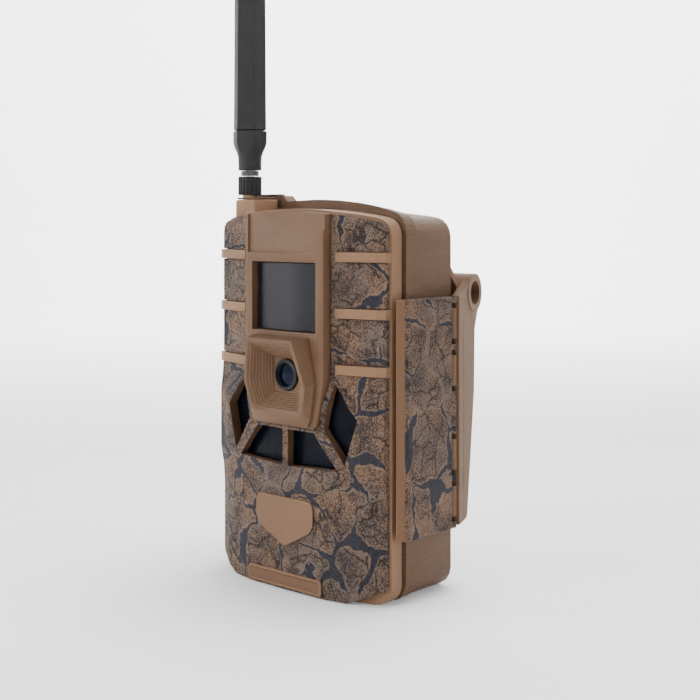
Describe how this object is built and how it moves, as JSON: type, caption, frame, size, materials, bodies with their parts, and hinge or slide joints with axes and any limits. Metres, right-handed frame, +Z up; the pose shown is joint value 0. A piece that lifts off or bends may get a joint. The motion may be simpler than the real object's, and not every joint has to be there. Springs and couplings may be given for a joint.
{
  "type": "trail camera",
  "caption": "Camouflaged trail camera with a hooded lens, motion sensor window, screw-on aerial, side latch, hinged front and a rear tree bracket with strap slots and cable eyes.",
  "frame": {"origin": "on the flat underside it stands on, midway across the case and 21 mm behind the front side edge of the case", "axes": "+Z up along the aerial, +Y towards the tree (the back), -Y the way the lens looks, +X the object's left-hand side as seen from behind it, where the side latch is"},
  "size_m": [0.1053, 0.0818, 0.325],
  "materials": {
    "brown_shell": "moulded matte brown, fine texture",
    "bark_cover": "matte bark-pattern film",
    "brown_bezel": "moulded matte brown",
    "brown_pad": "matte brown",
    "badge": "matte brown, slightly darker",
    "motion_window": "milky grey-black lens film",
    "smoked_filter": "smoked infrared window",
    "display_window": "glossy dark display cover",
    "lens_glass": "coated glass",
    "filter_glass": "thin coated glass",
    "black_plastic": "matte black",
    "aerial_black": "satin black",
    "chromed_ring": "polished metal",
    "brass": "machined brass",
    "steel": "zinc-plated steel",
    "circuit_board": "green solder mask",
    "grey_plastic": "matte dark grey",
    "seal_rubber": "soft black rubber",
    "battery_wrap": "plain dark wrap"
  },
  "bodies": {
    "rear_half": {"battery_cell_1": "battery_wrap", "battery_cell_2": "battery_wrap", "battery_cell_3": "battery_wrap", "battery_cell_4": "battery_wrap", "battery_cell_5": "battery_wrap", "battery_cell_6": "battery_wrap", "battery_cell_7": "battery_wrap", "battery_cell_8": "battery_wrap", "battery_tray": "grey_plastic", "bracket_screw_1": "steel", "bracket_screw_2": "steel", "bracket_screw_3": "steel", "bracket_screw_4": "steel", "contact_plate_high": "steel", "contact_plate_low": "steel", "contact_plate_middle": "steel", "door_pin": "steel", "door_seal": "seal_rubber", "latch_pin": "steel", "rear_case": "brown_shell", "tree_bracket": "brown_shell", "tripod_insert": "brass"},
    "front_half": {"front_case": "brown_shell", "camo_cover": "bark_cover", "center_bezel": "brown_bezel", "motion_window": "motion_window", "motion_sensor": "steel", "lens_glass": "lens_glass", "lens_ring": "black_plastic", "lens_barrel": "black_plastic", "ir_filter": "smoked_filter", "ir_led_board": "circuit_board", "camera_board": "circuit_board", "main_board": "circuit_board", "modem_module": "steel", "inner_panel": "grey_plastic", "display_window": "display_window", "card_socket": "steel", "panel_screw_1": "steel", "panel_screw_2": "steel", "panel_screw_3": "steel", "panel_screw_4": "steel", "front_badge": "badge", "name_plate": "badge", "aerial_socket": "brass", "antenna_pad": "brown_pad"},
    "latch": {"side_latch": "bark_cover"},
    "aerial": {"antenna_ring": "chromed_ring", "antenna_foot": "aerial_black", "antenna_sleeve": "aerial_black"},
    "aerial_collar": {"antenna_collar": "aerial_black"},
    "day_filter": {"daylight_filter": "filter_glass"},
    "switch_knob": {"power_switch": "black_plastic"},
    "button_1": {"menu_button_1": "black_plastic"},
    "button_2": {"menu_button_2": "black_plastic"},
    "button_3": {"menu_button_3": "black_plastic"},
    "card": {"memory_card": "black_plastic"}
  },
  "joints": [
    {"name": "door_hinge", "type": "hinge", "parent": "rear_half", "child": "front_half", "pos_m": [-0.051, -0.0104, 0.075], "axis": [0, 0, -1], "range_deg": [0, 110]},
    {"name": "latch_hinge", "type": "hinge", "parent": "rear_half", "child": "latch", "pos_m": [0.0502, 0.0165, 0.0718], "axis": [0, 0, 1], "range_deg": [0, 100]},
    {"name": "aerial_lift", "type": "slide", "parent": "front_half", "child": "aerial", "axis": [0, 0, 1], "range_m": [0, 0.0042]},
    {"name": "collar_spin", "type": "hinge", "parent": "aerial", "child": "aerial_collar", "pos_m": [-0.0313, -0.018, 0.1633], "axis": [0, 0, 1], "range_deg": [0, 2160]},
    {"name": "filter_slide", "type": "slide", "parent": "front_half", "child": "day_filter", "axis": [1, 0, 0], "range_m": [0, 0.0045]},
    {"name": "switch_slide", "type": "slide", "parent": "front_half", "child": "switch_knob", "axis": [1, 0, 0], "range_m": [-0.003, 0.003]},
    {"name": "card_slide", "type": "slide", "parent": "front_half", "child": "card", "axis": [0, 0, -1], "range_m": [0, 0.0098]},
    {"name": "button_1_press", "type": "slide", "parent": "front_half", "child": "button_1", "axis": [0, -1, 0], "range_m": [0, 0.0007], "stiffness_N_per_m": 600},
    {"name": "button_2_press", "type": "slide", "parent": "front_half", "child": "button_2", "axis": [0, -1, 0], "range_m": [0, 0.0007], "stiffness_N_per_m": 600},
    {"name": "button_3_press", "type": "slide", "parent": "front_half", "child": "button_3", "axis": [0, -1, 0], "range_m": [0, 0.0007], "stiffness_N_per_m": 600}
  ],
  "couplings": [
    {"joint": "collar_spin", "follows": "aerial_lift", "rad_per_m": 8904.8}
  ]
}
